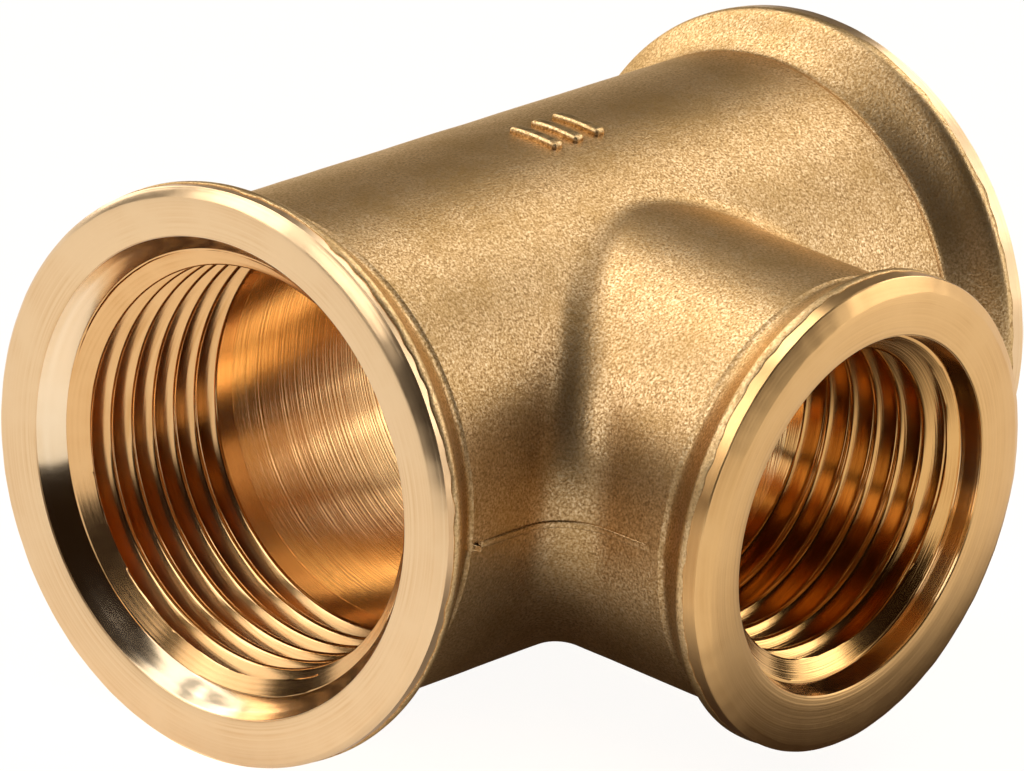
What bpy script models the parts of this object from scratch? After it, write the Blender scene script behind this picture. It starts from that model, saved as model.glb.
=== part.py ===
"""Brass reducing tee fitting, G3/4 x G1/2 x G3/4, all three ports female.

The run lies along X, the branch opens towards -Y and Z is up. The origin is the middle of the bottom of
the bounding box, so the fitting stands on its two run collars with its faces square to the axes.
"""

import math

import bmesh
import bpy
from mathutils import Matrix, Vector

MM = 0.001

# Driving dimensions, in millimetres.
THREAD_PITCH = 1.814  # 14 threads an inch, on both sizes
THREAD_FLANK_DEG = 27.5  # half of the 55 degree thread angle
TOUCH_GAP = 0.3  # left wherever two zones of the forging meet

RUN = {
    "reach": 26.5,  # branch axis to end face
    "collar_radius": 17.25,
    "collar_band": 1.5,  # straight part of the collar, measured from the face
    "collar_depth": 4.5,  # where the flare of the collar meets the barrel
    "barrel_radius": 15.25,
    "edge_radial": 0.55,
    "edge_axial": 0.3,
    "mouth_radius": 14.3,
    "counterbore_radius": 13.55,
    "counterbore_depth": 1.65,
    "major_radius": 13.22,
    "minor_radius": 12.06,
    "sleeve_radius": 13.6,
    "sleeve_depth": 14.6,
    "thread_depth": 13.6,
    "turns": 7,
}
BRANCH = {
    "reach": 26.5,  # run axis to end face
    "collar_radius": 14.5,
    "collar_band": 1.7,
    "collar_depth": 4.0,
    "barrel_radius": 13.3,
    "edge_radial": 1.2,
    "edge_axial": 0.45,
    "mouth_radius": 10.95,
    "counterbore_radius": 10.75,
    "counterbore_depth": 1.5,
    "major_radius": 10.48,
    "minor_radius": 9.32,
    "sleeve_radius": 10.86,
    "sleeve_depth": 13.2,
    "thread_depth": 12.4,
    "turns": 6,
}

FLASH_PROUD = 0.2  # trimmed die parting line, in the plane of both axes
FLASH_THICKNESS = 0.6
MARK_PROUD = 0.4  # plain raised die mark on top of the barrel
OUTSIDE_SIDES = 56
THREAD_SIDES = 28
CUT_PAST = 4.0  # how far a cutter runs past the face that it opens

# Row frame: where the two axes cross, measured from the middle of the bottom of the bounding box.
CROSSING = Vector((0.0, (BRANCH["reach"] - RUN["collar_radius"]) / 2, RUN["collar_radius"])) * MM
PORTS = {
    "left_run": (RUN, Matrix.Rotation(math.radians(-90), 4, "Y")),
    "right_run": (RUN, Matrix.Rotation(math.radians(90), 4, "Y")),
    "branch": (BRANCH, Matrix.Rotation(math.radians(90), 4, "X")),
}


def clear_scene():
    for old in list(bpy.data.objects):
        bpy.data.objects.remove(old, do_unlink=True)


def new_collection(name):
    made = bpy.data.collections.new(name)
    bpy.context.scene.collection.children.link(made)
    return made


def brass(name, color, roughness):
    made = bpy.data.materials.new(name)
    made.use_nodes = True
    shader = made.node_tree.nodes["Principled BSDF"]
    shader.inputs["Base Color"].default_value = (*color, 1.0)
    shader.inputs["Metallic"].default_value = 1.0
    shader.inputs["Roughness"].default_value = roughness
    return made


def finish(item, material):
    """Gives a part its material and smooth shading with crisp machined corners."""
    item.data.materials.clear()
    item.data.materials.append(material)
    item.data.shade_smooth()
    item.data.set_sharp_from_angle(angle=math.radians(30))


def hide_as_cutter(item):
    item.hide_render = True
    item.display_type = "WIRE"


def turned(name, profile, turn, sides, collection):
    """A ring or plug turned about an axis: profile is (radius, height) pairs in mm, outer side top to bottom."""
    mesh = bpy.data.meshes.new(name)
    shape = bmesh.new()
    points = [shape.verts.new((radius * MM, 0.0, height * MM)) for radius, height in profile]
    for first, second in zip(points, points[1:]):
        shape.edges.new((first, second))
    if profile[0][0] > 0:
        shape.edges.new((points[-1], points[0]))
    shape.to_mesh(mesh)
    shape.free()
    item = bpy.data.objects.new(name, mesh)
    collection.objects.link(item)
    screw = item.modifiers.new("turn", "SCREW")
    screw.axis = "Z"
    screw.angle = math.radians(360)
    screw.steps = sides
    screw.render_steps = sides
    screw.use_merge_vertices = True
    screw.merge_threshold = 0.00001
    item.matrix_world = Matrix.Translation(CROSSING) @ turn
    return item


def boolean(item, other, operation):
    cut = item.modifiers.new(operation.lower(), "BOOLEAN")
    cut.operation = operation
    cut.object = other
    cut.solver = "EXACT"


def block(name, low, high, collection):
    """A box between two corners, in mm from where the axes cross."""
    middle = [(a + b) / 2 * MM for a, b in zip(low, high)]
    size = [(b - a) * MM for a, b in zip(low, high)]
    mesh = bpy.data.meshes.new(name)
    shape = bmesh.new()
    bmesh.ops.create_cube(shape, size=1.0)
    bmesh.ops.scale(shape, vec=size, verts=shape.verts)
    shape.to_mesh(mesh)
    shape.free()
    item = bpy.data.objects.new(name, mesh)
    item.location = CROSSING + Vector(middle)
    collection.objects.link(item)
    hide_as_cutter(item)
    return item


def round_stock(name, port, length, collection):
    """The forged barrel or neck, solid, with one end where the port's collar starts."""
    spec, turn = PORTS[port]
    top = spec["reach"] - spec["collar_depth"] - TOUCH_GAP
    radius = spec["barrel_radius"]
    profile = [(0, top), (radius, top), (radius, top - length), (0, top - length)]
    return turned(name, profile, turn, OUTSIDE_SIDES, collection)


def pocket_sizes(spec):
    """Radius and inner end of the pocket that a threaded sleeve sits in."""
    return spec["sleeve_radius"] + TOUCH_GAP, spec["reach"] - spec["sleeve_depth"] - TOUCH_GAP


def run_bore_cutter(collection):
    """Both sleeve pockets and the drilled bore between them, right through the barrel."""
    pocket, floor = pocket_sizes(RUN)
    bore = RUN["minor_radius"]
    top = RUN["reach"] + CUT_PAST
    half = [(0, top), (pocket, top), (pocket, floor), (bore, floor)]
    profile = half + [(radius, -height) for radius, height in reversed(half)]
    cutter = turned("run_bore", profile, PORTS["right_run"][1], OUTSIDE_SIDES, collection)
    hide_as_cutter(cutter)
    return cutter


def branch_bore_cutter(collection):
    """The branch's sleeve pocket and the drilled way from it into the run bore."""
    pocket, floor = pocket_sizes(BRANCH)
    bore = BRANCH["minor_radius"]
    top = BRANCH["reach"] + CUT_PAST
    profile = [(0, top), (pocket, top), (pocket, floor), (bore, floor), (bore, 0), (0, 0)]
    cutter = turned("branch_bore", profile, PORTS["branch"][1], OUTSIDE_SIDES, collection)
    hide_as_cutter(cutter)
    return cutter


def forged_body(parts, cutters, material):
    """Barrel and neck as they leave the dies, with the trimmed parting line and the raised mark."""
    run_end = RUN["reach"] - RUN["collar_depth"] - TOUCH_GAP
    neck_end = BRANCH["reach"] - BRANCH["collar_depth"] - TOUCH_GAP
    body = round_stock("forged_body", "right_run", 2 * run_end, parts)
    neck = round_stock("neck_stock", "branch", neck_end, cutters)
    hide_as_cutter(neck)
    boolean(body, neck, "UNION")

    inset = 1.0  # the flash stops short of the collars, where the lathe took it off
    run_half = FLASH_THICKNESS / 2
    neck_half = run_half * 0.9
    wide = RUN["barrel_radius"] + FLASH_PROUD
    narrow = BRANCH["barrel_radius"] + FLASH_PROUD
    reach = run_end - inset
    run_flash = block("run_flash", (-reach, -wide, -run_half), (reach, wide, run_half), cutters)
    neck_flash = block("neck_flash", (-narrow, inset - neck_end, -neck_half), (narrow, 0, neck_half), cutters)
    boolean(body, run_flash, "UNION")
    boolean(body, neck_flash, "UNION")
    top = RUN["barrel_radius"] + MARK_PROUD
    for name, low, high in mark_bars():
        bar = block(name, (*low, RUN["barrel_radius"] - 1.0), (*high, top), cutters)
        boolean(body, bar, "UNION")

    boolean(body, run_bore_cutter(cutters), "DIFFERENCE")
    boolean(body, branch_bore_cutter(cutters), "DIFFERENCE")
    finish(body, material)


def mark_bars():
    """Three short bars across the top of the barrel, as (name, low x and y, high x and y)."""
    bar_width = 0.9
    bar_length = 3.6
    spacing = 1.9
    for index in (-1, 0, 1):
        left = 1.4 + index * spacing - bar_width / 2
        yield "mark_bar_%d" % (index + 2), (left, -bar_length / 2), (left + bar_width, bar_length / 2)


def collar(port, parts, material):
    """The thick band at a port's mouth: machined face, broken outer edge and counterbore, forged flare behind."""
    spec, turn = PORTS[port]
    face = spec["reach"]
    back = face - spec["collar_depth"]
    outer = spec["collar_radius"]
    seat = face - spec["counterbore_depth"]
    pocket = spec["sleeve_radius"] + TOUCH_GAP
    profile = [
        (outer - spec["edge_radial"], face),
        (outer, face - spec["edge_axial"]),
        (outer, face - spec["collar_band"]),
        (spec["barrel_radius"], back),
        (pocket, back),
        (pocket, seat),
        (spec["counterbore_radius"], seat),
        (spec["mouth_radius"], face),
    ]
    finish(turned(port + "_collar", profile, turn, OUTSIDE_SIDES, parts), material)


def thread_cutter(port, collection):
    """One helical groove of the pipe thread, run out past the mouth of the sleeve."""
    spec, turn = PORTS[port]
    slope = math.tan(math.radians(THREAD_FLANK_DEG))
    root_flat = THREAD_PITCH / 6
    inside = spec["minor_radius"] - 0.2
    half_root = root_flat / 2
    half_mouth = half_root + (spec["major_radius"] - inside) * slope
    start = spec["reach"] - spec["thread_depth"]
    profile = [
        (inside, start + half_mouth),
        (spec["major_radius"], start + half_root),
        (spec["major_radius"], start - half_root),
        (inside, start - half_mouth),
    ]
    guide = turned(port + "_groove_guide", profile, turn, THREAD_SIDES, collection)
    screw = guide.modifiers["turn"]
    screw.screw_offset = THREAD_PITCH * MM
    screw.iterations = spec["turns"]
    screw.use_merge_vertices = False
    bpy.context.view_layer.update()
    graph = bpy.context.evaluated_depsgraph_get()
    mesh = bpy.data.meshes.new_from_object(guide.evaluated_get(graph))
    shape = bmesh.new()
    shape.from_mesh(mesh)
    open_edges = [edge for edge in shape.edges if edge.is_boundary]
    bmesh.ops.holes_fill(shape, edges=open_edges, sides=len(profile))
    bmesh.ops.recalc_face_normals(shape, faces=shape.faces)
    shape.to_mesh(mesh)
    shape.free()
    cutter = bpy.data.objects.new(port + "_groove", mesh)
    collection.objects.link(cutter)
    half_step = math.radians(180 / THREAD_SIDES)  # keeps the groove's corners off the sleeve's own edges
    cutter.matrix_world = guide.matrix_world @ Matrix.Rotation(half_step, 4, "Z")
    bpy.data.objects.remove(guide)
    hide_as_cutter(cutter)
    return cutter


def thread(port, parts, cutters, material):
    """The threaded wall of a port: a sleeve with a lead-in cone and a right-hand parallel pipe thread."""
    spec, turn = PORTS[port]
    mouth = spec["reach"] - spec["counterbore_depth"] - TOUCH_GAP
    inner = spec["reach"] - spec["sleeve_depth"]
    lead = spec["major_radius"] + 0.05
    profile = [
        (spec["sleeve_radius"], mouth),
        (spec["sleeve_radius"], inner),
        (spec["minor_radius"], inner),
        (spec["minor_radius"], mouth - (lead - spec["minor_radius"])),
        (lead, mouth),
    ]
    sleeve = turned(port + "_thread", profile, turn, THREAD_SIDES, parts)
    boolean(sleeve, thread_cutter(port, cutters), "DIFFERENCE")
    finish(sleeve, material)


def build():
    clear_scene()
    parts = new_collection("tee_fitting")
    cutters = new_collection("cutters")
    forged = brass("forged_brass", (0.48, 0.29, 0.10), 0.5)
    machined = brass("machined_brass", (0.72, 0.46, 0.20), 0.25)
    cut = brass("cut_thread_brass", (0.60, 0.33, 0.11), 0.22)
    forged_body(parts, cutters, forged)
    for port in PORTS:
        collar(port, parts, machined)
        thread(port, parts, cutters, cut)


build()
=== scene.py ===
import math

import bpy
import numpy as np
from mathutils import Matrix, Vector


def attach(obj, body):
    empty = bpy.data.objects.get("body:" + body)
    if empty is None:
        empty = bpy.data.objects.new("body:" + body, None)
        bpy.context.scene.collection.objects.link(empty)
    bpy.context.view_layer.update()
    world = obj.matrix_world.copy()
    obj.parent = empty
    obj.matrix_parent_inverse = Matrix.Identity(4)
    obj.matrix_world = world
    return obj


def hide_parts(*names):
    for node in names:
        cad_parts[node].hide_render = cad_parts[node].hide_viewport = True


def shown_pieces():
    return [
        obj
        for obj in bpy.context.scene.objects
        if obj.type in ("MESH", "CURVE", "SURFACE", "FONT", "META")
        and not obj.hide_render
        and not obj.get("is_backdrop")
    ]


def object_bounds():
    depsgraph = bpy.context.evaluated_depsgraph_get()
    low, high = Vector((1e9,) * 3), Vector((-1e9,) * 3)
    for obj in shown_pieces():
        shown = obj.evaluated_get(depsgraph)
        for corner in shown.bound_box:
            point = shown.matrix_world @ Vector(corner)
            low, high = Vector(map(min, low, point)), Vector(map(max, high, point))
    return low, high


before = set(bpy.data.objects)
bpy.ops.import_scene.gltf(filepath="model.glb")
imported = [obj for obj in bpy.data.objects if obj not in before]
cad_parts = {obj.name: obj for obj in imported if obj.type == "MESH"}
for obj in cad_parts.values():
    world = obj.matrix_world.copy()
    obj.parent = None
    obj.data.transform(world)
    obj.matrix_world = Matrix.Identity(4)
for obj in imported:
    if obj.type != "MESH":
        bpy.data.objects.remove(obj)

# Where things are: the run lies along X, the branch opens towards -Y, and the two axes cross on one point.
# Each port is known by the way it faces and by how far its end face is from that point.
cad_box = [list(corner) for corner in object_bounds()]
low, high = Vector(cad_box[0]), Vector(cad_box[1])
MM = 0.001
run_collar_radius = (high.z - low.z) / 2
crossing = Vector(((low.x + high.x) / 2, high.y - run_collar_radius, low.z + run_collar_radius))
run_reach = high.x - crossing.x
branch_reach = crossing.y - low.y
LEFT, RIGHT, FRONT = Vector((-1, 0, 0)), Vector((1, 0, 0)), Vector((0, -1, 0))


# ---------------------------------------------------------------- the forging's skin
# Barrel and branch neck are one piece of hot-forged brass. The two meet in a fillet, because a die can't
# have a sharp inside corner, and the skin is shot blasted after the flash is trimmed.
barrel_radius = 15.25 * MM
neck_radius = 13.3 * MM
fillet_radius = 3.4 * MM
run_flare_depth = 5.0 * MM  # from the end face to the crease where the collar starts
branch_flare_depth = 4.2 * MM
skin_thickness = 1.2 * MM
skin_waviness = 0.07 * MM  # a forging is never quite round
ripple_length = 5.5 * MM
still_margin = 2 * MM  # the skin runs true for this far from each collar


def clear_selection():
    """Leaves edit mode with nothing selected, so that the next operator acts on the new piece alone."""
    if bpy.context.object and bpy.context.object.mode != "OBJECT":
        bpy.ops.object.mode_set(mode="OBJECT")
    bpy.ops.object.select_all(action="DESELECT")


def places(piece):
    """The piece's corners as rows of x, y, z."""
    found = np.empty(len(piece.data.vertices) * 3, dtype=np.float32)
    piece.data.vertices.foreach_get("co", found)
    return found.reshape(-1, 3).astype(float)


def place(piece, rows):
    """Moves the piece's corners to the given rows of x, y, z."""
    piece.data.vertices.foreach_set("co", np.asarray(rows, dtype=np.float32).ravel())
    piece.data.update()


def close_seams(distance=0.002 * MM):
    """Merges corners that lie on each other and turns every face outwards."""
    bpy.ops.object.mode_set(mode="EDIT")
    bpy.ops.mesh.select_all(action="SELECT")
    bpy.ops.mesh.remove_doubles(threshold=distance)
    bpy.ops.mesh.normals_make_consistent(inside=False)
    bpy.ops.object.mode_set(mode="OBJECT")


def apply(piece, kind, **settings):
    """Adds a modifier, sets it and applies it."""
    modifier = piece.modifiers.new(kind.lower(), kind)
    for setting, value in settings.items():
        setattr(modifier, setting, value)
    bpy.ops.object.modifier_apply(modifier=modifier.name)


def tee_wall(name, barrel, neck, blend, barrel_end, neck_end, around, rings):
    """A sheet wrapped round a barrel and the neck that leaves it, with a rolling fillet between them.

    It starts as a flat grid: across goes round the neck, up goes from the neck's end over the fillet and
    on round the barrel until it meets itself at the back. No bevel makes this fillet, because its edge
    is a saddle.
    """
    clear_selection()
    neck_rings, blend_rings, barrel_rings = rings
    total = sum(rings)
    bpy.ops.mesh.primitive_grid_add(x_subdivisions=around, y_subdivisions=total, size=1)
    piece = bpy.context.object
    piece.name = piece.data.name = name
    flat = places(piece)
    turn = (flat[:, 0] + 0.5) * 2 * math.pi
    ring = np.rint((flat[:, 1] + 0.5) * total)

    ball_x = (neck + blend) * np.cos(turn)
    ball_z = (neck + blend) * np.sin(turn)
    ball_y = -np.sqrt((barrel + blend) ** 2 - ball_z ** 2)
    share = barrel / (barrel + blend)

    along_neck = np.clip(ring / neck_rings, 0, 1)
    neck_y = -neck_end + along_neck * (ball_y + neck_end)
    neck_rows = np.stack([neck * np.cos(turn), neck_y, neck * np.sin(turn)], 1)

    start = np.stack([-np.cos(turn), 0 * turn, -np.sin(turn)], 1)
    finish = np.stack([0 * turn, -ball_y, -ball_z], 1) / (barrel + blend)
    opening = np.arccos(np.clip((start * finish).sum(1), -1, 1))
    along_blend = np.clip((ring - neck_rings) / blend_rings, 0, 1)
    from_start = start * np.sin((1 - along_blend) * opening)[:, None]
    swept = from_start + finish * np.sin(along_blend * opening)[:, None]
    blend_rows = np.stack([ball_x, ball_y, ball_z], 1) + blend * swept / np.sin(opening)[:, None]

    eighth = turn / (math.pi / 4)  # 0 at +X, 2 at +Z, 4 at -X, 6 at -Z
    sides = [eighth <= 1, eighth <= 3, eighth <= 5, eighth <= 7]
    edge_x = np.select(sides, [1, 2 - eighth, -1, eighth - 6], 1)
    edge_turn = np.select(sides, [eighth, 1, 4 - eighth, -1], eighth - 8)
    crowding = 1.35  # above 1, the rings lie closer together near the fillet
    along_barrel = np.clip((ring - neck_rings - blend_rings) / barrel_rings, 0, 1) ** crowding
    hole_turn = np.arcsin(np.clip(ball_z * share / barrel, -1, 1))
    barrel_x = ball_x + along_barrel * (edge_x * barrel_end - ball_x)
    barrel_turn = hole_turn + along_barrel * (edge_turn * math.pi - hole_turn)
    barrel_rows = np.stack([barrel_x, -barrel * np.cos(barrel_turn), barrel * np.sin(barrel_turn)], 1)

    on_neck = (ring <= neck_rings)[:, None]
    on_blend = (ring <= neck_rings + blend_rings)[:, None]
    rows = np.where(on_neck, neck_rows, np.where(on_blend, blend_rows, barrel_rows))
    place(piece, rows + np.array(crossing))
    close_seams()
    return piece


skin_end = run_reach - run_flare_depth
neck_end = branch_reach - branch_flare_depth
skin = tee_wall("forged_skin", barrel_radius, neck_radius, fillet_radius, skin_end, neck_end,
                around=384, rings=(20, 14, 62))
rows = places(skin) - np.array(crossing)
free = np.minimum(skin_end - np.abs(rows[:, 0]), neck_end + rows[:, 1])
group = skin.vertex_groups.new(name="away_from_collars")
for corner, share in enumerate(np.clip(free / still_margin, 0, 1)):
    group.add([corner], share, "REPLACE")
ripple = bpy.data.textures.new("forging_ripple", "CLOUDS")
ripple.noise_scale = ripple_length
apply(skin, "DISPLACE", texture=ripple, texture_coords="OBJECT", mid_level=0.5, strength=skin_waviness,
      vertex_group="away_from_collars")
apply(skin, "SOLIDIFY", thickness=skin_thickness, offset=-1, use_even_offset=True)


def linear(hex_colour):
    """An sRGB hex colour as linear red, green, blue and alpha."""
    parts = [int(hex_colour[i:i + 2], 16) / 255 for i in (1, 3, 5)]
    return [p / 12.92 if p <= 0.04045 else ((p + 0.055) / 1.055) ** 2.4 for p in parts] + [1.0]


def node(tree, kind, sockets=None, stops=None, **settings):
    """Adds one node: settings are its own, sockets takes a value or another node's output for each name."""
    made = tree.nodes.new(kind)
    for setting, value in settings.items():
        setattr(made, setting, value)
    for index, (position, colour) in enumerate(stops or []):
        stop = made.color_ramp.elements[index] if index < 2 else made.color_ramp.elements.new(position)
        stop.position = position
        stop.color = colour
    for socket, value in (sockets or {}).items():
        if isinstance(value, bpy.types.NodeSocket):
            tree.links.new(value, made.inputs[socket])
        else:
            made.inputs[socket].default_value = value
    return made


# Blasted forging brass: the shot leaves a fine dented grain, about 0.15 mm, that breaks every highlight
# into specks. The heat of forging leaves soft patches of browner metal, and tumbling rubs the edges bright.
grain_size, dent_size, patch_size = 0.15 * MM, 0.42 * MM, 3.8 * MM
dent_depth = 0.022 * MM
forged = bpy.data.materials.new("blasted_forged_brass")
forged.use_nodes = True
tree = forged.node_tree
shader = tree.nodes["Principled BSDF"]
shader.inputs["Metallic"].default_value = 1.0
shader.inputs["Specular Tint"].default_value = linear("#FFE9C4")
where = node(tree, "ShaderNodeTexCoord").outputs["Object"]
grain = node(tree, "ShaderNodeTexNoise",
             {"Vector": where, "Scale": 1 / grain_size, "Detail": 2.0, "Roughness": 0.6})
dents = node(tree, "ShaderNodeTexNoise",
             {"Vector": where, "Scale": 1 / dent_size, "Detail": 2.0, "Roughness": 0.5})
patches = node(tree, "ShaderNodeTexNoise",
               {"Vector": where, "Scale": 1 / patch_size, "Detail": 4.0, "Roughness": 0.6})
metal = node(tree, "ShaderNodeValToRGB", {"Fac": grain.outputs["Fac"]},
             [(0.30, linear("#8A6A44")), (0.72, linear("#E6C99E")), (0.50, linear("#C09C6C"))])
stain = node(tree, "ShaderNodeMapRange",
             {"Value": patches.outputs["Fac"], "From Min": 0.40, "From Max": 0.70,
              "To Min": 0.0, "To Max": 0.50})
stained = node(tree, "ShaderNodeMix",
               {"Factor": stain.outputs["Result"], "A": metal.outputs["Color"], "B": linear("#A27E48")},
               data_type="RGBA")
rubbed = node(tree, "ShaderNodeAttribute", attribute_name="rubbed")
patchy = node(tree, "ShaderNodeMapRange", {"Value": dents.outputs["Fac"], "From Min": 0.35, "From Max": 0.60})
worn = node(tree, "ShaderNodeMath", {0: rubbed.outputs["Fac"], 1: patchy.outputs["Result"]},
            operation="MULTIPLY")
colour = node(tree, "ShaderNodeMix",
              {"Factor": worn.outputs[0], "A": stained.outputs["Result"], "B": linear("#DDBB86")},
              data_type="RGBA")
blasted = node(tree, "ShaderNodeMapRange",
               {"Value": grain.outputs["Fac"], "From Min": 0.3, "From Max": 0.7,
                "To Min": 0.50, "To Max": 0.36})
rough = node(tree, "ShaderNodeMapRange",
             {"Value": worn.outputs[0], "To Min": blasted.outputs["Result"], "To Max": 0.28})
height = node(tree, "ShaderNodeMath", {0: grain.outputs["Fac"], 1: dents.outputs["Fac"]}, operation="ADD")
bump = node(tree, "ShaderNodeBump", {"Height": height.outputs[0], "Strength": 0.75, "Distance": dent_depth})
tree.links.new(colour.outputs["Result"], shader.inputs["Base Color"])
tree.links.new(rough.outputs["Result"], shader.inputs["Roughness"])
tree.links.new(bump.outputs["Normal"], shader.inputs["Normal"])


def rub(piece, shares):
    """Marks how far tumbling has rubbed each corner of a piece: 0 is blasted skin, 1 is bare metal."""
    mark = piece.data.attributes.new("rubbed", "FLOAT", "POINT")
    mark.data.foreach_set("value", np.clip(shares, 0, 1).astype(np.float32))


def hand_over(piece, material, slot, *nodes, sharp=math.radians(35)):
    """Gives a finished piece its metal, rides it on the fitting and hides the CAD nodes it stands for."""
    piece.data.materials.clear()
    piece.data.materials.append(material)
    clear_selection()
    piece.select_set(True)
    bpy.context.view_layer.objects.active = piece
    bpy.ops.object.shade_smooth_by_angle(angle=sharp)
    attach(piece, "root")
    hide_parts(*nodes)


hand_over(skin, forged, "forged_brass", "forged_body")


# ---------------------------------------------------------------- collar flares
# Each mouth is thickened by a band that flares out of the barrel or neck. It is forged with the rest, so
# it has the same blasted skin. A soft crease shows where it starts, and its front edge is torn a little
# where the lathe broke through the skin.
RUN_FLARE = [  # radius and distance back from the end face, in mm
    (15.25, 5.00), (15.22, 4.86), (15.18, 4.70), (15.19, 4.52), (15.27, 4.32), (15.42, 4.02), (15.65, 3.62),
    (15.94, 3.20), (16.28, 2.80), (16.62, 2.44), (16.90, 2.14), (17.10, 1.88), (17.21, 1.66), (17.25, 1.48),
    (17.25, 1.14), (17.22, 1.09), (16.60, 1.05), (15.60, 1.60), (14.90, 3.20), (14.60, 4.60), (14.60, 5.00),
]
BRANCH_FLARE = [
    (13.30, 4.20), (13.27, 4.07), (13.23, 3.92), (13.23, 3.76), (13.30, 3.56), (13.43, 3.27), (13.62, 2.95),
    (13.86, 2.62), (14.10, 2.32), (14.28, 2.10), (14.42, 1.94), (14.49, 1.82), (14.50, 1.70), (14.50, 1.34),
    (14.47, 1.29), (13.80, 1.25), (12.90, 1.70), (12.40, 2.80), (12.20, 3.80), (12.20, 4.20),
]


def turned_ring(name, port, reach, profile, steps):
    """Draws a closed profile beside the port's axis, corner by corner, and spins it once round."""
    clear_selection()
    corners = [crossing + port * (reach - back * MM) + Vector((0, 0, radius * MM)) for radius, back in profile]
    bpy.ops.mesh.primitive_plane_add(size=MM, location=corners[0])
    piece = bpy.context.object
    piece.name = piece.data.name = name
    bpy.ops.object.transform_apply(location=True, rotation=True, scale=True)
    bpy.ops.object.mode_set(mode="EDIT")
    bpy.ops.mesh.select_all(action="SELECT")
    bpy.ops.mesh.merge(type="CENTER")
    for first, second in zip(corners, corners[1:]):
        bpy.ops.mesh.extrude_region_move(TRANSFORM_OT_translate={"value": second - first})
    bpy.ops.mesh.select_all(action="DESELECT")
    bpy.ops.object.mode_set(mode="OBJECT")
    piece.data.vertices[0].select = piece.data.vertices[-1].select = True
    bpy.ops.object.mode_set(mode="EDIT")
    bpy.ops.mesh.edge_face_add()
    bpy.ops.mesh.select_all(action="SELECT")
    bpy.ops.mesh.spin(steps=steps, angle=2 * math.pi, center=crossing, axis=port)
    close_seams()
    return piece


def about(piece, port, reach):
    """Each corner's radius, turn from the top and distance back from the mouth, and the way across the port."""
    across = Vector((0, 0, 1)).cross(port)
    rows = places(piece) - np.array(crossing)
    along, up, over = rows @ np.array(port), rows[:, 2], rows @ np.array(across)
    return np.hypot(up, over), np.arctan2(over, up), reach - along, across


def put_about(piece, port, reach, radius, turn, back, across):
    """Moves each corner to its radius, turn and distance back from the mouth."""
    rows = (reach - back)[:, None] * np.array(port) + (radius * np.cos(turn))[:, None] * np.array((0, 0, 1))
    place(piece, rows + (radius * np.sin(turn))[:, None] * np.array(across) + np.array(crossing))


def uneven(turn, waves, seed):
    """A line that wanders between -1 and 1 on its way round a rim and meets itself."""
    rng = np.random.default_rng(seed)
    total = sum(rng.uniform(0.4, 1.0) * np.sin(wave * turn + rng.uniform(0, 2 * math.pi)) for wave in waves)
    return total / np.abs(total).max()


flash_level = -0.35 * MM  # the die halves met a hair under the plane of the axes
ridge_proud, ridge_width = 0.12 * MM, 0.28 * MM  # what is left of the trimmed flash on a flare
ridge_fade = 0.5 * MM  # the ridge dies out over this much radius below the flare's crest
crest_share = 0.995  # it has gone by this share of the flare's largest radius
rub_share, rub_start, rub_range = 0.5, 0.990, 0.010  # tumbling wears only the last hundredth of the radius
tear_depth = 0.17 * MM
front_band = 0.12 * MM  # the rows of corners this close to the front edge are torn
for seed, (name, port, reach, profile, steps) in enumerate((
        ("left_run", LEFT, run_reach, RUN_FLARE, 256),
        ("right_run", RIGHT, run_reach, RUN_FLARE, 256),
        ("branch", FRONT, branch_reach, BRANCH_FLARE, 216))):
    flare = turned_ring(name + "_flare", port, reach, profile, steps)
    radius, turn, back, across = about(flare, port, reach)
    outermost = radius > (max(profile)[0] - 0.05) * MM
    front = outermost & (back < min(b for r, b in profile) * MM + front_band)
    back += front * tear_depth * uneven(turn, (4, 7, 11, 18, 29, 47, 61), seed)
    below_crest = np.clip((crest_share * max(radius) - radius) / ridge_fade, 0, 1)
    ridge = np.exp(-((radius * np.cos(turn) - flash_level) / ridge_width) ** 2)
    put_about(flare, port, reach, radius + ridge_proud * ridge * below_crest, turn, back, across)
    rub(flare, rub_share * (radius / max(radius) - rub_start) / rub_range)
    hand_over(flare, forged, "forged_brass", name + "_collar")


# ---------------------------------------------------------------- machined mouths
# The lathe faces each collar and breaks its outer edge. Bare turned brass: satin, with fine rings left by
# the tool's feed. The forging never sits quite true in the chuck, so the broken edge is wide on one side.
RUN_MOUTH = [  # radius and distance back from the end face, in mm; corners 4 to 6 are the broken edge
    (17.12, 1.54), (17.18, 1.44), (17.18, 0.40), (17.12, 0.32), (16.76, 0.03), (16.68, 0.0), (16.0, 0.0),
    (15.2, 0.0), (14.44, 0.0), (14.36, 0.03), (14.32, 0.09), (14.45, 0.50), (15.40, 1.20), (16.40, 1.40),
]
BRANCH_MOUTH = [
    (14.39, 1.72), (14.45, 1.62), (14.45, 0.52), (14.40, 0.44), (13.40, 0.03), (13.30, 0.0), (12.6, 0.0),
    (11.9, 0.0), (11.12, 0.0), (11.03, 0.03), (10.98, 0.09), (11.20, 0.50), (12.20, 1.30), (13.40, 1.60),
]


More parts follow.
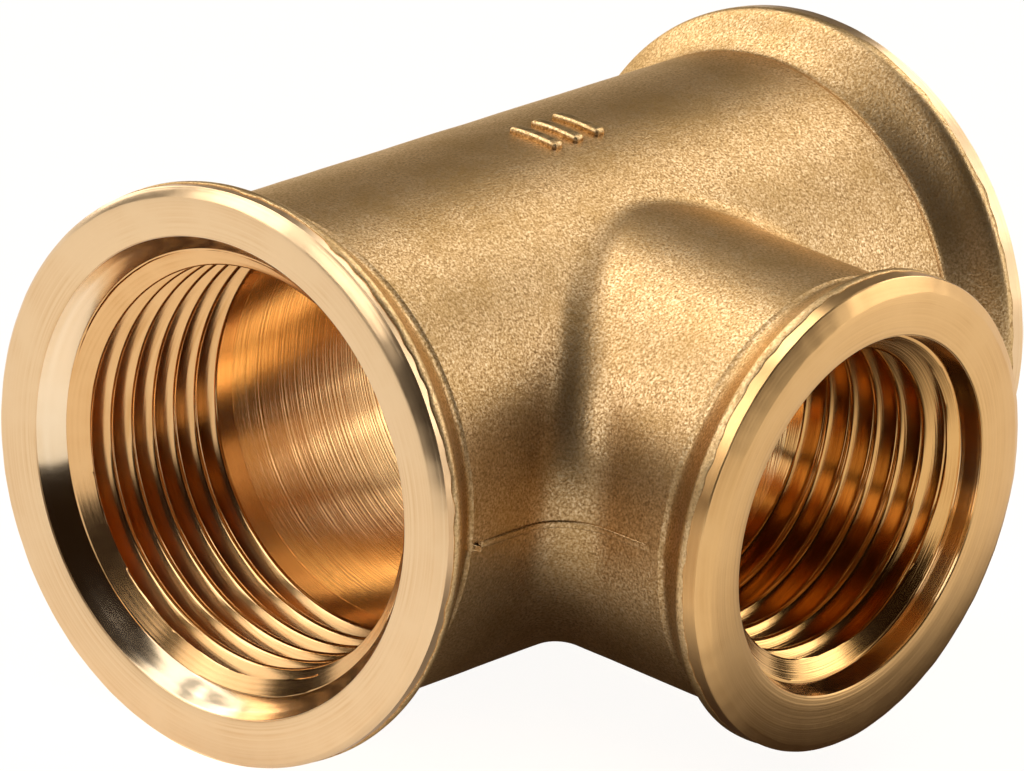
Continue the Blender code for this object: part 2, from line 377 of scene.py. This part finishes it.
def turned_brass(name, port, light, dark, feed, satin, groove, spread):
    """Brass as a lathe leaves it: rings about the port's axis, and highlights drawn out across them.

    feed is the distance between rings, satin the roughness, groove how strongly the rings catch the
    light, and spread how far they draw a highlight out.
    """
    cloud_size, scuff_size, ring_depth = 3.5 * MM, 0.5 * MM, 0.02 * MM
    metal = bpy.data.materials.new(name)
    metal.use_nodes = True
    tree = metal.node_tree
    shader = tree.nodes["Principled BSDF"]
    shader.inputs["Metallic"].default_value = 1.0
    shader.inputs["Anisotropic"].default_value = spread
    shader.inputs["Anisotropic Rotation"].default_value = 0.25
    where = node(tree, "ShaderNodeTexCoord").outputs["Object"]
    arm = node(tree, "ShaderNodeVectorMath", {0: where, 1: crossing}, operation="SUBTRACT")
    round_way = node(tree, "ShaderNodeVectorMath", {0: arm.outputs[0], 1: port}, operation="CROSS_PRODUCT")
    radius = node(tree, "ShaderNodeVectorMath", {0: round_way.outputs[0]}, operation="LENGTH")
    depth = node(tree, "ShaderNodeVectorMath", {0: arm.outputs[0], 1: port}, operation="DOT_PRODUCT")
    across = node(tree, "ShaderNodeMath", {0: radius.outputs["Value"], 1: depth.outputs["Value"]},
                  operation="ADD")
    lines = node(tree, "ShaderNodeTexNoise",
                 {"W": across.outputs[0], "Scale": 1 / feed, "Detail": 1.0, "Roughness": 0.6},
                 noise_dimensions="1D")
    cloud = node(tree, "ShaderNodeTexNoise", {"Vector": where, "Scale": 1 / cloud_size, "Detail": 3.0})
    scuff = node(tree, "ShaderNodeTexNoise",
                 {"Vector": where, "Scale": 1 / scuff_size, "Detail": 5.0, "Roughness": 0.7})
    shade = node(tree, "ShaderNodeMapRange", {"Value": lines.outputs["Fac"], "From Min": 0.3, "From Max": 0.7})
    cloudy = node(tree, "ShaderNodeMapRange",
                  {"Value": cloud.outputs["Fac"], "From Min": 0.35, "From Max": 0.65, "To Min": 0.0,
                   "To Max": 0.55})
    shaded = node(tree, "ShaderNodeMath", {0: shade.outputs["Result"], 1: cloudy.outputs["Result"]},
                  operation="MULTIPLY")
    colour = node(tree, "ShaderNodeMix", {"Factor": shaded.outputs[0], "A": linear(light), "B": linear(dark)},
                  data_type="RGBA")
    rough = node(tree, "ShaderNodeMapRange",
                 {"Value": scuff.outputs["Fac"], "From Min": 0.3, "From Max": 0.7, "To Min": satin * 0.92,
                  "To Max": satin * 1.10})
    bump = node(tree, "ShaderNodeBump",
                {"Height": lines.outputs["Fac"], "Strength": groove, "Distance": ring_depth})
    tree.links.new(colour.outputs["Result"], shader.inputs["Base Color"])
    tree.links.new(rough.outputs["Result"], shader.inputs["Roughness"])
    tree.links.new(bump.outputs["Normal"], shader.inputs["Normal"])
    tree.links.new(round_way.outputs[0], shader.inputs["Tangent"])
    return metal


# Faced brass: rings 0.2 mm apart, drawn coarser than the real feed so that they show. They give the eye a
# soft sheen that turns with the face. The branch face's copy of this brass is darker: painted shade.
faced = {"feed": 0.20 * MM, "satin": 0.30, "groove": 0.5, "spread": 0.6}
faced_run = turned_brass("faced_brass_run", RIGHT, "#E9C699", "#D9AE7C", **faced)
faced_branch_painted_shade = turned_brass("faced_brass_branch_painted_shade", FRONT, "#DCAF74", "#C6955A", **faced)
edge_taper = 1.3  # above 1, the wide side of a broken edge is the shorter
edge_raggedness = 0.06
edge_zone = 0.6 * MM  # only corners this near the face belong to the broken edge
for seed, (name, port, reach, profile, steps, metal, widest, narrow, wide) in enumerate((
        ("left_run", LEFT, run_reach, RUN_MOUTH, 288, faced_run, 0.75, 0.30, 1.65),
        ("right_run", RIGHT, run_reach, RUN_MOUTH, 288, faced_run, 1.20, 0.40, 1.30),
        ("branch", FRONT, branch_reach, BRANCH_MOUTH, 240, faced_branch_painted_shade, -0.80, 0.30, 1.05))):
    mouth = turned_ring(name + "_mouth", port, reach, profile, steps)
    radius, turn, back, across = about(mouth, port, reach)
    rim, face_edge = profile[1][0] * MM, profile[5][0] * MM
    share = narrow + (wide - narrow) * (0.5 + 0.5 * np.cos(turn - widest)) ** edge_taper
    share += edge_raggedness * uneven(turn, (9, 14, 23, 37, 58), seed)
    broken = (radius > face_edge - 0.02 * MM) & (back < edge_zone)
    radius = np.where(broken, rim - (rim - radius) * share, radius)
    back = np.where(broken, back * share, back)
    put_about(mouth, port, reach, radius, turn, back, across)
    hand_over(mouth, metal, "machined_brass", name + "_collar", sharp=math.radians(28))


# ---------------------------------------------------------------- bored seats
# In front of each thread the boring tool cuts a short tapered seat. It is turned finer than the face, so
# it is nearly a mirror and goes from cream to black round the mouth.
RUN_SEAT = [
    (14.50, 0.10), (14.31, 0.085), (14.25, 0.18), (13.94, 0.61), (13.63, 1.04), (13.32, 1.47), (13.28, 1.54),
    (13.30, 1.62), (13.60, 2.10), (14.60, 1.60),
]
BRANCH_SEAT = [
    (11.15, 0.10), (10.97, 0.085), (10.94, 0.18), (10.85, 0.57), (10.77, 0.97), (10.68, 1.36), (10.64, 1.46),
    (10.58, 1.52), (10.80, 2.00), (11.80, 1.60),
]
# Bored brass: the finest of the cuts, so the eye sees the light and the dark of the room in it, barely
# blurred by its rings.
bored = {"feed": 0.16 * MM, "satin": 0.15, "groove": 0.25, "spread": 0.4}
bored_run = turned_brass("bored_brass_run", RIGHT, "#F2D8B4", "#E6C496", **bored)
# The branch copy's darker colours are painted shade.
bored_branch_painted_shade = turned_brass("bored_brass_branch_painted_shade", FRONT, "#E6C08A", "#D2A068", **bored)
for name, port, reach, profile, steps, metal in (
        ("left_run", LEFT, run_reach, RUN_SEAT, 240, bored_run),
        ("right_run", RIGHT, run_reach, RUN_SEAT, 240, bored_run),
        ("branch", FRONT, branch_reach, BRANCH_SEAT, 208, bored_branch_painted_shade)):
    seat = turned_ring(name + "_seat", port, reach, profile, steps)
    hand_over(seat, metal, "cut_thread_brass", name + "_thread", sharp=math.radians(28))


# ---------------------------------------------------------------- threads
# A parallel pipe thread is tapped in each mouth, 14 turns an inch with rounded crests. The tap starts in
# a steep lead-in and stops with a small burr, a little before the drilled bore begins.
pitch = 1.814 * MM
flank = math.radians(27.5)
crest_rounding, thread_depth = 0.137329, 0.640327  # the form's own proportions, in pitches
lead_slope = 1.7  # how far the lead-in narrows for each step into the port
runout_turns = 0.05  # the groove fades out over this share of a turn
burr_height, burr_turns = 0.10 * MM, 0.012
hair = 0.0005 * MM  # closer than this, two corners are one
LEAD_RINGS = (0.06, 0.14, 0.22, 0.30, 0.38, 0.46, 0.54, 0.62, 0.70)  # depths in mm of the rings it bends at
# Radii in mm, then distances back from the end face: where the wall begins and ends and the tap stops.
RUN_THREAD = {"minor": 12.06, "major": 13.22, "sleeve": 13.95, "top": 1.56, "end": 14.6, "last": 13.0}
BRANCH_THREAD = {"minor": 9.32, "major": 10.48, "sleeve": 11.20, "top": 1.42, "end": 13.2, "last": 11.8}


def thread_profile(minor):
    """One pitch of a Whitworth form from crest to crest, as radius and height."""
    tip = crest_rounding * pitch
    deep = minor + thread_depth * pitch
    bend = [flank_turn * (math.pi / 2 - flank) for flank_turn in (0, 0.25, 0.5, 0.75, 1.0)]
    crest = [(minor + tip - tip * math.cos(a), tip * math.sin(a)) for a in bend]
    root = [(deep - tip + tip * math.cos(a), pitch / 2 - tip * math.sin(a)) for a in reversed(bend)]
    side = [tuple(c + (r - c) * share for c, r in zip(crest[-1], root[0])) for share in (0.33, 0.67)]
    half = crest + side + root
    return half + [(radius, pitch - height) for radius, height in reversed(half[:-1])]


def threaded_sleeve(name, port, reach, size, steps, phase):
    """The tapped wall of a port, with its lead-in and run-out, closed behind by a plain sleeve."""
    minor, major, sleeve, top, end, last = (size[key] * MM for key in
                                            ("minor", "major", "sleeve", "top", "end", "last"))
    bottom, mouth = reach - end, reach - top
    clear_selection()
    profile = thread_profile(minor)
    first = bottom - 1.5 * pitch + phase * pitch
    bpy.ops.mesh.primitive_plane_add(size=MM, location=(profile[0][0], 0, first))
    piece = bpy.context.object
    piece.name = piece.data.name = name
    bpy.ops.object.transform_apply(location=True, rotation=True, scale=True)
    bpy.ops.object.mode_set(mode="EDIT")
    bpy.ops.mesh.select_all(action="SELECT")
    bpy.ops.mesh.merge(type="CENTER")
    for one, two in zip(profile, profile[1:]):
        step = (two[0] - one[0], 0, two[1] - one[1])
        bpy.ops.mesh.extrude_region_move(TRANSFORM_OT_translate={"value": step})
    bpy.ops.object.mode_set(mode="OBJECT")
    turns = math.ceil((mouth - first) / pitch) + 1
    apply(piece, "ARRAY", count=turns, use_relative_offset=False, use_constant_offset=True,
          constant_offset_displace=(0, 0, pitch), use_merge_vertices=True, merge_threshold=0.001 * MM)
    apply(piece, "SCREW", axis="Z", angle=2 * math.pi, steps=steps, render_steps=steps, screw_offset=pitch,
          use_merge_vertices=False)
    bpy.ops.object.mode_set(mode="EDIT")
    bpy.ops.mesh.select_all(action="SELECT")
    bpy.ops.mesh.remove_doubles(threshold=0.002 * MM)
    bpy.ops.mesh.bisect(plane_co=(0, 0, mouth), plane_no=(0, 0, 1), clear_outer=True, threshold=hair)
    bpy.ops.mesh.select_all(action="SELECT")
    bpy.ops.mesh.bisect(plane_co=(0, 0, bottom), plane_no=(0, 0, -1), clear_outer=True, threshold=hair)
    for depth in LEAD_RINGS:
        bpy.ops.mesh.select_all(action="SELECT")
        bpy.ops.mesh.bisect(plane_co=(0, 0, mouth - depth * MM), plane_no=(0, 0, 1), threshold=hair)
    bpy.ops.object.mode_set(mode="OBJECT")

    rows = places(piece)
    radius = np.hypot(rows[:, 0], rows[:, 1])
    turn = np.arctan2(rows[:, 1], rows[:, 0]) / (2 * math.pi)
    groove_height = first + pitch / 2
    groove = np.rint((rows[:, 2] - groove_height) / pitch - turn)
    travelled = groove + turn
    stop = (reach - last - groove_height) / pitch
    cut = np.clip((travelled - stop) / runout_turns, 0, 1)
    cut = cut * cut * (3 - 2 * cut)
    burr = burr_height * np.exp(-((travelled - stop) / burr_turns) ** 2)
    shaped = minor + (radius - minor) * cut - burr * (radius - minor < 0.5 * (major - minor))
    lead = major + 0.05 * MM - (mouth - rows[:, 2]) * lead_slope
    shaped = np.maximum(shaped, lead)
    rows[:, :2] *= (shaped / radius)[:, None]
    place(piece, rows)

    bpy.ops.object.mode_set(mode="EDIT")
    bpy.ops.mesh.select_mode(type="EDGE")
    bpy.ops.mesh.select_all(action="DESELECT")
    bpy.ops.mesh.select_non_manifold()
    bpy.ops.mesh.extrude_edges_move()
    bpy.ops.object.mode_set(mode="OBJECT")
    rows = places(piece)
    rims = np.array([corner.select for corner in piece.data.vertices])
    rows[rims, :2] *= (sleeve / np.hypot(rows[rims, 0], rows[rims, 1]))[:, None]
    place(piece, rows)
    bpy.ops.object.mode_set(mode="EDIT")
    bpy.ops.mesh.bridge_edge_loops()
    bpy.ops.mesh.select_mode(type="VERT")
    bpy.ops.object.mode_set(mode="OBJECT")
    facing = Vector((0, 0, 1)).rotation_difference(port).to_matrix().to_4x4()
    piece.matrix_world = Matrix.Translation(crossing) @ facing
    bpy.ops.object.transform_apply(location=True, rotation=True, scale=True)
    close_seams(hair)
    return piece


# Tapped brass: smooth flanks that throw light from one to the next, which makes the grooves glow orange.
tapped = {"feed": 0.12 * MM, "satin": 0.17, "groove": 0.25, "spread": 0.45}
cut_run = turned_brass("tapped_brass_run", RIGHT, "#E3B47C", "#BE8644", **tapped)
# The branch copy's darker colours are painted shade.
cut_branch_painted_shade = turned_brass("tapped_brass_branch_painted_shade", FRONT, "#D9A868", "#AC7030", **tapped)
for name, port, reach, size, steps, metal, phase in (
        ("left_run", LEFT, run_reach, RUN_THREAD, 192, cut_run, 0.0),
        ("right_run", RIGHT, run_reach, RUN_THREAD, 192, cut_run, 0.5),
        ("branch", FRONT, branch_reach, BRANCH_THREAD, 168, cut_branch_painted_shade, 0.0)):
    sleeve = threaded_sleeve(name + "_tapped_wall", port, reach, size, steps, phase)
    hand_over(sleeve, metal, "cut_thread_brass", name + "_thread", sharp=math.radians(50))


# ---------------------------------------------------------------- drilled bores
# The run is drilled through and the branch drilled into it, both at the threads' inner size. The drill
# leaves bright walls with fine rings, and the edge where the bores meet is only just broken.
bore_radius = 12.06 * MM
branch_bore_radius = 9.32 * MM
bore_edge = 0.3 * MM
bore_skin = 0.25 * MM
under_thread = 0.02 * MM  # the bore runs this far under the tapped walls
bore = tee_wall("drilled_bore", bore_radius, branch_bore_radius, bore_edge,
                run_reach - RUN_THREAD["end"] * MM + under_thread,
                branch_reach - BRANCH_THREAD["end"] * MM + under_thread, around=256, rings=(4, 4, 44))
apply(bore, "SOLIDIFY", thickness=bore_skin, offset=1, use_even_offset=True)
# Drilled brass: the drill tears as it cuts, so its rings are the plainest and break a highlight into bars.
drilled = turned_brass("drilled_brass", RIGHT, "#EAC288", "#B47A38", feed=0.17 * MM, satin=0.20, groove=0.6,
                       spread=0.5)
hand_over(bore, drilled, "cut_thread_brass", "forged_body")


# ---------------------------------------------------------------- parting line
# The die halves met in the plane of both axes. The flash was trimmed off there, which leaves a thin
# raised line along the barrel, round each fillet, up the neck and over the flares.
line_proud = 0.16 * MM
line_thick = 0.42 * MM
line_rounding = 0.15 * MM
strip_depth = 0.5 * MM  # how deep the strip is set in the skin
end_sunk = 0.09 * MM  # its two ends dip under the skin, over this many steps:
end_steps = 6
run_stop, branch_stop = 4.6, 3.8  # how far from the end faces it stops, in mm: just over the flares' creases


def parting_strip(name, outline):
    """A fin on a path in the plane of the axes: the path is drawn, widened inwards and thickened."""
    clear_selection()
    corners = [crossing + Vector((x * MM, y * MM, flash_level)) for x, y in outline]
    bpy.ops.mesh.primitive_plane_add(size=MM, location=corners[0])
    piece = bpy.context.object
    piece.name = piece.data.name = name
    bpy.ops.object.transform_apply(location=True, rotation=True, scale=True)
    bpy.ops.object.mode_set(mode="EDIT")
    bpy.ops.mesh.select_all(action="SELECT")
    bpy.ops.mesh.merge(type="CENTER")
    for one, two in zip(corners, corners[1:]):
        bpy.ops.mesh.extrude_region_move(TRANSFORM_OT_translate={"value": two - one})
    bpy.ops.mesh.select_all(action="SELECT")
    bpy.ops.mesh.extrude_region_move(TRANSFORM_OT_translate={"value": (0, 0, 0)})
    bpy.ops.object.mode_set(mode="OBJECT")
    count = len(corners)
    rows = places(piece)
    path = rows[:count].copy()
    ahead = np.gradient(path, axis=0)
    ahead /= np.linalg.norm(ahead, axis=1)[:, None]
    side = np.stack([ahead[:, 1], -ahead[:, 0], 0 * ahead[:, 0]], 1)
    rng = np.random.default_rng(7)
    smoothing = 9  # steps
    rough = rng.uniform(0.35, 1.25, count + smoothing - 1)
    wander = np.convolve(rough, np.ones(smoothing) / smoothing, mode="valid")[:count, None]
    step = np.minimum(np.arange(count), np.arange(count)[::-1])
    shown = np.clip(step / end_steps, 0, 1)[:, None]
    rows[:count] = path + side * (line_proud * wander * shown - end_sunk * (1 - shown))
    nearest = np.linalg.norm(rows[count:, None, :2] - path[None, :, :2], axis=2).argmin(1)
    rows[count:] = path[nearest] - side[nearest] * strip_depth
    place(piece, rows)
    close_seams()
    apply(piece, "SOLIDIFY", thickness=line_thick, offset=0)
    apply(piece, "BEVEL", width=line_rounding, segments=3, limit_method="ANGLE", angle_limit=math.radians(40))
    return piece


def corner_outline():
    """The left front outline from the run flare to the branch flare: barrel side, fillet, neck side, in mm."""
    r1, r2, f = barrel_radius / MM, neck_radius / MM, fillet_radius / MM
    path = [(x, -r1) for x in np.linspace(run_stop - run_reach / MM, -(r2 + f), 16)]
    for turn in np.linspace(0, math.pi / 2, 12)[1:]:
        path.append((-(r2 + f) + f * math.sin(turn), -(r1 + f) + f * math.cos(turn)))
    return path + [(-r2, y) for y in np.linspace(-(r1 + f), branch_stop - branch_reach / MM, 10)[1:]]


left_path = corner_outline()
right_path = [(-x, y) for x, y in reversed(left_path)]
back_end = run_reach / MM - run_stop
back_path = [(x, barrel_radius / MM) for x in np.linspace(back_end, -back_end, 64)]
for name, path in (("parting_line_left", left_path), ("parting_line_right", right_path),
                   ("parting_line_back", back_path)):
    hand_over(parting_strip(name, path), forged, "forged_brass", "forged_body")


# ---------------------------------------------------------------- raised die mark
# Three plain bars stand on top of the barrel, sunk into the die as a maker's or size mark would be, with
# edges rounded by the forging and worn smooth.
bar_size = (0.9, 3.6, 1.2)
bar_centres = (-0.5, 1.4, 3.3)
bar_proud = 0.36 * MM
bar_rounding = 0.28 * MM
clear_selection()
bpy.ops.mesh.primitive_cube_add(size=1, location=crossing + Vector((bar_centres[0] * MM, 0, barrel_radius)))
first_bar = bpy.context.object
first_bar.name = first_bar.data.name = "die_mark_1"
first_bar.scale = [side * MM for side in bar_size]
bpy.ops.object.transform_apply(location=True, rotation=True, scale=True)
apply(first_bar, "BEVEL", width=bar_rounding, segments=5, limit_method="ANGLE")
bpy.ops.object.mode_set(mode="EDIT")
bpy.ops.mesh.select_all(action="SELECT")
bpy.ops.mesh.subdivide(number_cuts=4)
bpy.ops.object.mode_set(mode="OBJECT")
rows = places(first_bar)
off_top = rows[:, 1] - crossing.y
over = (rows[:, 2] - crossing.z - barrel_radius) / (bar_size[2] * MM / 2)  # -1 at the foot, 1 at the top
rows[:, 2] = crossing.z + np.sqrt(barrel_radius ** 2 - off_top ** 2) + over * bar_proud
place(first_bar, rows)
rub(first_bar, 2 * over - 1.2)  # bare metal along the top, none down the sides
close_seams()
bars = [first_bar]
for centre in bar_centres[1:]:
    bar = first_bar.copy()
    bar.data = first_bar.data.copy()
    bar.name = bar.data.name = "die_mark_%d" % (len(bars) + 1)
    bar.data.transform(Matrix.Translation(((centre - bar_centres[0]) * MM, 0, 0)))
    bpy.context.scene.collection.objects.link(bar)
    bars.append(bar)
for bar in bars:
    hand_over(bar, forged, "forged_brass", "forged_body")


# ---------------------------------------------------------------- floor
# The fitting stands on a round sheet of plain pale studio card. Far off, the card sweeps up a little all
# round, so that a low view sees no edge.
floor_radius = 1.2  # metres
# Each ring of the sweep: how many times wider than the last it is, and how many metres higher.
SWEEP = ((1.20, 0.004), (1.18, 0.012), (1.16, 0.022), (1.14, 0.034), (1.10, 0.048))
clear_selection()
bpy.ops.mesh.primitive_circle_add(vertices=96, radius=floor_radius, fill_type="NGON",
                                location=(0, 0, low.z))
floor = bpy.context.object
floor.name = floor.data.name = "studio_floor"
bpy.ops.object.transform_apply(location=True, rotation=True, scale=True)
bpy.ops.object.mode_set(mode="EDIT")
bpy.ops.mesh.select_mode(type="EDGE")
bpy.ops.mesh.select_all(action="SELECT")
for wider, rise in SWEEP:
    bpy.ops.mesh.extrude_edges_move(TRANSFORM_OT_translate={"value": (0, 0, rise)})
    bpy.ops.transform.resize(value=(wider, wider, 1.0))
bpy.ops.mesh.select_mode(type="VERT")
bpy.ops.mesh.select_all(action="SELECT")
bpy.ops.mesh.normals_make_consistent(inside=False)
bpy.ops.object.mode_set(mode="OBJECT")
card = bpy.data.materials.new("pale_studio_card")
card.use_nodes = True
card_shader = card.node_tree.nodes["Principled BSDF"]
card_shader.inputs["Base Color"].default_value = linear("#F4F3F1")
card_shader.inputs["Roughness"].default_value = 0.9
card_shader.inputs["Specular IOR Level"].default_value = 0.1
floor.data.materials.append(card)
floor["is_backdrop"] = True


# ---------------------------------------------------------------- light
# A dim brown room with ten square softboxes, five of them behind and overhead and five to the sides. They
# light the fitting alone. The floor has its own wide, even light, so that it stays pale everywhere.
world = bpy.data.worlds.new("dim_studio")
bpy.context.scene.world = world
world.use_nodes = True
world.node_tree.nodes["Background"].inputs["Color"].default_value = linear("#5A4026")
world.node_tree.nodes["Background"].inputs["Strength"].default_value = 0.12


def softbox(name, towards, distance, side, power):
    """A square softbox that hangs in the given direction from the fitting and faces it."""
    lamp = bpy.data.lights.new(name, "AREA")
    lamp.shape = "SQUARE"
    lamp.size = side
    lamp.energy = power
    box = bpy.data.objects.new(name, lamp)
    bpy.context.scene.collection.objects.link(box)
    way = Vector(towards).normalized()
    box.location = crossing + way * distance
    box.rotation_euler = way.to_track_quat("Z", "Y").to_euler()
    return box


fitting_only = bpy.data.collections.new("fitting_only")
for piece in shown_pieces():
    fitting_only.objects.link(piece)
floor_only = bpy.data.collections.new("floor_only")
floor_only.objects.link(floor)
SOFTBOXES = (  # name, direction from the fitting, how bright its face looks
    ("softbox_back_low", (0.15, 0.93, 0.34), 4.0),
    ("softbox_back_high", (0.10, 0.62, 0.78), 4.5),
    ("softbox_back_left", (-0.50, 0.55, 0.67), 3.6),
    ("softbox_back_left_low", (-0.72, 0.59, 0.38), 1.8),
    ("softbox_overhead", (-0.10, 0.25, 0.96), 2.3),
    ("softbox_left_high", (-0.75, 0.00, 0.66), 3.4),
    ("softbox_right_low", (0.74, -0.66, 0.14), 1.8),
    ("softbox_right_front", (0.70, -0.52, 0.48), 2.8),
    ("softbox_right", (0.85, 0.05, 0.52), 3.5),
    ("softbox_right_high", (0.55, 0.10, 0.83), 1.7),
)
box_distance, box_side = 0.60, 0.30  # metres
rated_side = 0.28  # metres: the power is that of a face this wide, a little less than box_side
for name, towards, brightness in SOFTBOXES:
    box = softbox(name, towards, box_distance, box_side, brightness * math.pi * rated_side ** 2)
    box.light_linking.receiver_collection = fitting_only


def floor_wash(name, strength, spread, shadows):
    """Daylight from straight above that falls on the floor alone, spread over so many degrees."""
    wash = bpy.data.lights.new(name, "SUN")
    wash.energy = strength
    wash.angle = math.radians(spread)
    lamp = bpy.data.objects.new(name, wash)
    bpy.context.scene.collection.objects.link(lamp)
    lamp.light_linking.receiver_collection = floor_only
    wash.use_shadow = shadows


floor_wash("floor_wash", strength=3.3, spread=4, shadows=False)
floor_wash("floor_shadow", strength=0.25, spread=110, shadows=True)

# A brown card lies under the fitting as painted shadow: seen only in reflections, it stands in for the
# floor's shade there and keeps the underside dark and warm. It fades out towards its rim.
card_radius, solid_radius = 46 * MM, 24 * MM
card_lift = 0.3 * MM
card_middle = crossing + Vector((12 * MM, -9 * MM, card_lift - run_collar_radius))
clear_selection()
bpy.ops.mesh.primitive_circle_add(vertices=64, radius=card_radius, fill_type="NGON", location=card_middle)
painted_shadow_card = bpy.context.object
painted_shadow_card.name = painted_shadow_card.data.name = "painted_shadow_card"
bpy.ops.object.transform_apply(location=True, rotation=True, scale=True)
brown = bpy.data.materials.new("painted_shadow_flock")
brown.use_nodes = True
tree = brown.node_tree
shader = tree.nodes["Principled BSDF"]
shader.inputs["Base Color"].default_value = linear("#2C1C0D")
shader.inputs["Roughness"].default_value = 1.0
where = node(tree, "ShaderNodeTexCoord").outputs["Object"]
reach = node(tree, "ShaderNodeVectorMath", {0: where, 1: card_middle}, operation="DISTANCE")
fade = node(tree, "ShaderNodeMapRange",
            {"Value": reach.outputs["Value"], "From Min": solid_radius, "From Max": card_radius, "To Min": 1.0,
             "To Max": 0.0}, interpolation_type="SMOOTHSTEP")
tree.links.new(fade.outputs["Result"], shader.inputs["Alpha"])
painted_shadow_card.data.materials.append(brown)
# Unseen by the camera and casting no shadow, it only darkens and warms reflections: painted shadow.
painted_shadow_card.visible_diffuse = False
painted_shadow_card.visible_camera = False
painted_shadow_card.visible_shadow = False
floor_only.objects.link(painted_shadow_card)
painted_shadow_card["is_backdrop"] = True


# ---------------------------------------------------------------- camera
# A long lens from the left front, about 22 degrees up. The fitting leans on three rims when it lies on a
# bench, so the camera is rolled by the same small angle instead of tipping the fitting.
azimuth, elevation, roll = math.radians(-50.94), math.radians(21.53), math.radians(5.51)
distance = 38.90 * run_collar_radius
# The lens aims a little left of the crossing and under it.
left_of_middle, under_middle = 0.022 * run_collar_radius, 0.029 * run_collar_radius
back = Vector((math.sin(azimuth) * math.cos(elevation), -math.cos(azimuth) * math.cos(elevation),
               math.sin(elevation)))
level = Vector((0, 0, 1)).cross(back).normalized()
upright = back.cross(level)
right = level * math.cos(roll) + upright * math.sin(roll)
top = upright * math.cos(roll) - level * math.sin(roll)
lens = bpy.data.cameras.new("long_lens")
lens.sensor_width = 36.0
lens.lens = 398.6
lens.clip_start = 0.01
lens.clip_end = 100.0
camera = bpy.data.objects.new("camera", lens)
bpy.context.scene.collection.objects.link(camera)
stand = crossing + back * distance - right * left_of_middle - top * under_middle
camera.matrix_world = Matrix.Translation(stand) @ Matrix((right, top, back)).transposed().to_4x4()
bpy.context.scene.camera = camera
bpy.context.scene.view_settings.view_transform = "Standard"
